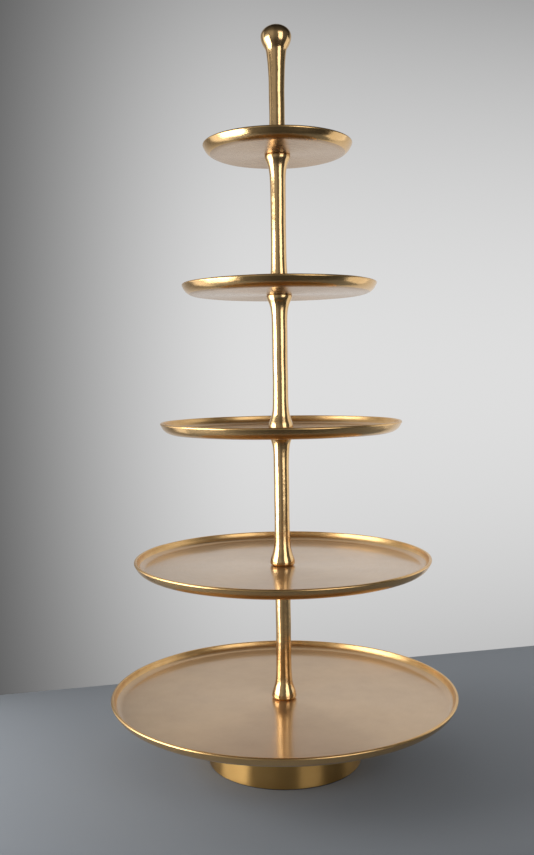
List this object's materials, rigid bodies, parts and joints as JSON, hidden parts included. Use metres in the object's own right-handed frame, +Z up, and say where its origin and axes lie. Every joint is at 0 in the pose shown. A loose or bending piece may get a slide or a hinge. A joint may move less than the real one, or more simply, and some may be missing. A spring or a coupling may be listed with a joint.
{
  "type": "tiered cake stand",
  "caption": "Tall tiered cake stand: round gold trays with raised lips, largest at the bottom, held apart by flared screw-in rods above a drum foot, with a ball grip on top.",
  "frame": {"origin": "on the stand's axis, at the level of the surface that the foot's rubber ring stands on", "axes": "+Z up along the axis of the rods; the stand is round, so X and Y may point anywhere level"},
  "size_m": [0.4999, 0.5, 1.05],
  "materials": {
    "brushed_gold": "gold-tinted cast aluminium, brushed on both faces, with a polished lip and side",
    "polished_gold": "gold-tinted cast aluminium, hand polished",
    "spun_gold": "gold-tinted aluminium, turned with fine rings",
    "zinc_steel": "bright zinc-plated steel",
    "nylon": "natural nylon, matt",
    "rubber": "black rubber, matt"
  },
  "bodies": {
    "base": {"foot": "spun_gold", "foot_ring": "rubber", "tray_1": "brushed_gold"},
    "washer_1_body": {"washer_1": "nylon"},
    "rod_1_body": {"rod_1": "polished_gold", "stud_1": "zinc_steel", "tray_2": "brushed_gold"},
    "washer_2_body": {"washer_2": "nylon"},
    "rod_2_body": {"rod_2": "polished_gold", "stud_2": "zinc_steel", "tray_3": "brushed_gold"},
    "washer_3_body": {"washer_3": "nylon"},
    "rod_3_body": {"rod_3": "polished_gold", "stud_3": "zinc_steel", "tray_4": "brushed_gold"},
    "washer_4_body": {"washer_4": "nylon"},
    "rod_4_body": {"rod_4": "polished_gold", "stud_4": "zinc_steel", "tray_5": "brushed_gold"},
    "washer_5_body": {"washer_5": "nylon"},
    "grip_body": {"grip": "polished_gold", "stud_5": "zinc_steel"}
  },
  "joints": [
    {"name": "washer_1_lift", "type": "slide", "parent": "base", "child": "washer_1_body", "axis": [0, 0, 1], "range_m": [0, 0.012]},
    {"name": "rod_1_unscrew", "type": "hinge", "parent": "washer_1_body", "child": "rod_1_body", "pos_m": [0, 0, 0.089], "axis": [0, 0, 1], "range_deg": [0, 2880]},
    {"name": "washer_2_lift", "type": "slide", "parent": "rod_1_body", "child": "washer_2_body", "axis": [0, 0, 1], "range_m": [0, 0.012]},
    {"name": "rod_2_unscrew", "type": "hinge", "parent": "washer_2_body", "child": "rod_2_body", "pos_m": [0, 0, 0.285], "axis": [0, 0, 1], "range_deg": [0, 2880]},
    {"name": "washer_3_lift", "type": "slide", "parent": "rod_2_body", "child": "washer_3_body", "axis": [0, 0, 1], "range_m": [0, 0.012]},
    {"name": "rod_3_unscrew", "type": "hinge", "parent": "washer_3_body", "child": "rod_3_body", "pos_m": [0, 0, 0.481], "axis": [0, 0, 1], "range_deg": [0, 2880]},
    {"name": "washer_4_lift", "type": "slide", "parent": "rod_3_body", "child": "washer_4_body", "axis": [0, 0, 1], "range_m": [0, 0.012]},
    {"name": "rod_4_unscrew", "type": "hinge", "parent": "washer_4_body", "child": "rod_4_body", "pos_m": [0, 0, 0.677], "axis": [0, 0, 1], "range_deg": [0, 2880]},
    {"name": "washer_5_lift", "type": "slide", "parent": "rod_4_body", "child": "washer_5_body", "axis": [0, 0, 1], "range_m": [0, 0.012]},
    {"name": "grip_unscrew", "type": "hinge", "parent": "washer_5_body", "child": "grip_body", "pos_m": [0, 0, 0.873], "axis": [0, 0, 1], "range_deg": [0, 2880]}
  ],
  "couplings": [
    {"joint": "washer_1_lift", "follows": "rod_1_unscrew", "m_per_rad": 0.00023873},
    {"joint": "washer_2_lift", "follows": "rod_2_unscrew", "m_per_rad": 0.00023873},
    {"joint": "washer_3_lift", "follows": "rod_3_unscrew", "m_per_rad": 0.00023873},
    {"joint": "washer_4_lift", "follows": "rod_4_unscrew", "m_per_rad": 0.00023873},
    {"joint": "washer_5_lift", "follows": "grip_unscrew", "m_per_rad": 0.00023873}
  ]
}
